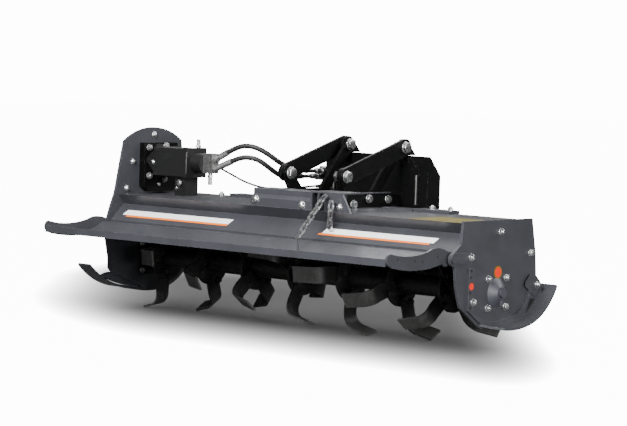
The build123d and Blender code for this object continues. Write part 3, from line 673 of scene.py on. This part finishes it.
SLANT = 9                        # how far a strip's upper edge is shifted from its lower one
WHITE_TOP, WHITE_FOOT, ORANGE_TOP, ORANGE_FOOT = 31, 56, 57, 65      # millimetres down the band
for name, x0, x1, shift in (("left", -774, -234, 20), ("right", 212, 705, -14)):
    white = [on_band(x0, WHITE_FOOT), on_band(x1, WHITE_FOOT),
             on_band(x1 + SLANT, WHITE_TOP), on_band(x0 + SLANT, WHITE_TOP)]
    start, end = x0 + shift, x1 + min(shift, 0)
    orange = [on_band(start, ORANGE_FOOT), on_band(end - 2, ORANGE_FOOT),
              on_band(end, ORANGE_TOP), on_band(start + 3, ORANGE_TOP)]
    film(f"stripe_white_{name}", white, OUTWARD, white_vinyl)
    film(f"stripe_orange_{name}", orange, OUTWARD, orange_vinyl)
sign = [at(x, y, 239) for x, y in ((575, -184), (800, -184), (800, 8), (575, 8))]
film("sign_yellow", sign, Vector(UP), yellow_vinyl)


def round_film(name, y, z, radius, material, lift):
    """Round film on the right side plate."""
    bm = bmesh.new()
    bmesh.ops.create_circle(bm, cap_ends=True, segments=40, radius=radius * MM)
    thicken(bm, list(bm.faces), Vector(UP))
    place = seat(at(SIDE, y, z), RIGHT) + Vector((lift * MM, 0, 0))
    upright = Matrix.Translation(place) @ Matrix.Rotation(pi / 2, 4, "Y")
    bmesh.ops.transform(bm, matrix=upright, verts=bm.verts)
    return finish_mesh(bm, name, material)


round_film("mark_border", 4, 69, 21.5, yellow_vinyl, 0.3)
round_film("mark_field", 4, 69, 17.5, red_vinyl, 0.55)
round_film("mark_small", -150, 29, 12, red_vinyl, 0.3)
# The holes get thin black discs of painted shade for the dark inside them.
ARM_HOLES = ((-152, 81), (-153, 59), (-155, 8), (-152, -43))
EAR_HOLES = ((-508, 131), (-419, 123), (-380, 119), (-302, 131))
for kind, holes, radius in (("arm", ARM_HOLES, 4.5), ("ear", EAR_HOLES, 3.5)):
    for number, (y, z) in enumerate(holes):
        round_film(f"{kind}_hole_{number + 1}", y, z, radius, painted_shade, 0.2)
SKID_FACE = 834
BRACE_PLATE = ((174, 56), (205, 50), (226, 22), (212, -26), (146, 17), (150, 31))
SKID_GAP = ((181, -27), (206, -31), (157, -76))
film("skid_brace_plate", [at(SKID_FACE, y, z) for y, z in BRACE_PLATE], Vector(RIGHT), grey_paint, 1.0)
# The gap beside the brace is a thin black plate of painted shade.
film("skid_gap_painted_shade", [at(SKID_FACE, y, z) for y, z in SKID_GAP], Vector(RIGHT), painted_shade)
print("films laid; missed:", missed)

# %% [markdown]
# ## Light and floor
# Five soft rectangles light the machine: a large key from behind, a low one from its idle side, a
# weak one overhead, and two from the front for the black hitch. A white room would wash out the
# dark paint, so the world is white to the camera only, and gives everything else a dim fill that is
# weaker towards the front.
# The floor isn't plain and pale, though from the opening view it looks nearly so. It is dark grey
# under a white glow that only the camera sees, and the glow fades out in a patch under the machine
# and up to 2.7 metres beyond it. That patch makes most of the large soft shadow, and the lights cast
# the rest. Three of its four edges follow the camera's turn, so it is a shortcut made for the
# opening view: from other sides, and most of all from above, it is a wide dark band that no light
# explains. A pale floor with only its real shadows is the sounder way.

# %% Light and floor
def area_light(name, where, aim, size, power):
    """Rectangular soft light that looks at a point."""
    data = bpy.data.lights.new(name, "AREA")
    data.shape = "RECTANGLE"
    data.size, data.size_y = size
    data.energy = power
    lamp = bpy.data.objects.new(name, data)
    bpy.context.scene.collection.objects.link(lamp)
    lamp.location = where
    lamp.rotation_euler = (Vector(aim) - Vector(where)).to_track_quat("-Z", "Y").to_euler()
    return lamp


area_light("key", (0.9, -4.2, 2.9), (0, -0.1, 0.35), (2.6, 1.6), 620)
area_light("side", (4.4, -1.0, 0.75), (0.5, -0.1, 0.3), (1.6, 1.0), 190)
area_light("overhead", (-0.3, -0.2, 3.0), (0, 0, 0), (2.6, 1.2), 70)
area_light("front_right", (2.4, 3.4, 2.6), (0, 0, 0.4), (2.0, 1.6), 110)
area_light("front_left", (-2.2, 2.8, 3.4), (0, 0, 0.4), (2.0, 1.6), 60)
WHITE, FILL = 14.0, 0.22         # the world's strength to the camera, and to everything else
FRONT_FILL = FILL / 5            # what is left of the fill towards the front
world = bpy.data.worlds.new("studio")
bpy.context.scene.world = world
world.use_nodes = True
background = world.node_tree.nodes["Background"]
background.inputs["Color"].default_value = (1, 1, 1, 1)
tree = world.node_tree
seen = add(tree, "LightPath").outputs["Is Camera Ray"]
toward_front = add(tree, "SeparateXYZ", {0: add(tree, "TexCoord").outputs["Generated"]}).outputs["Y"]
fill = remap(tree, toward_front, -0.3, 0.5, FILL, FRONT_FILL)
room = times(tree, fill, times(tree, 1.0, seen, "SUBTRACT"))
tree.links.new(times(tree, room, times(tree, seen, WHITE), "ADD"), background.inputs["Strength"])

FLOOR_REACH = 30                 # metres from its middle to an edge
floor_mesh = bpy.data.meshes.new("floor")
bm = bmesh.new()
bmesh.ops.create_grid(bm, x_segments=1, y_segments=1, size=FLOOR_REACH)
bm.to_mesh(floor_mesh)
bm.free()
floor = bpy.data.objects.new("floor", floor_mesh)
bpy.context.scene.collection.objects.link(floor)
floor_paint, tree, shader = new_material("dark_floor_with_white_glow")
shader.inputs["Base Color"].default_value = linear("#4c4c4c")
shader.inputs["Roughness"].default_value = 0.8
where = add(tree, "TexCoord").outputs["Object"]
forward = Vector((-sin(TURN), cos(TURN), 0))
right = Vector((cos(TURN), sin(TURN), 0))


def past_edge(direction, start, end):
    """0 up to the start and 1 at the end, in metres along a direction on the floor from the axis."""
    along = add(tree, "VectorMath", {0: where, 1: direction}, operation="DOT_PRODUCT").outputs["Value"]
    shift = AXIS.dot(Vector(direction))
    sockets = {"Value": along, "From Min": start + shift, "From Max": end + shift}
    ramp = add(tree, "MapRange", sockets, clamp=False).outputs["Result"]
    above = times(tree, ramp, 0.0, "MAXIMUM")
    return times(tree, above, above)


PATCH_EDGES = ((REAR, -0.08, 0.72), (right, 0.50, 0.82), (-right, 0.55, 1.12), (forward, 1.7, 2.7))
sides = [past_edge(*edge) for edge in PATCH_EDGES]
total = sides[0]
for side in sides[1:]:
    total = times(tree, total, side, "ADD")
away = times(tree, times(tree, total, 0.5, "POWER"), 1.0, "MINIMUM")
GROWTH, RISE, DARKEST = 2.718, 6.3, -3.7         # glow = GROWTH to the power (RISE x away + DARKEST)
power = times(tree, times(tree, away, RISE), DARKEST, "ADD")
brightness = times(tree, GROWTH, power, "POWER")
glow = times(tree, brightness, add(tree, "LightPath").outputs["Is Camera Ray"])
shader.inputs["Emission Color"].default_value = (1, 1, 1, 1)
connect(tree, shader, Emission_Strength=glow)
floor_mesh.materials.append(floor_paint)
print("lit")

bpy.context.view_layer.update()
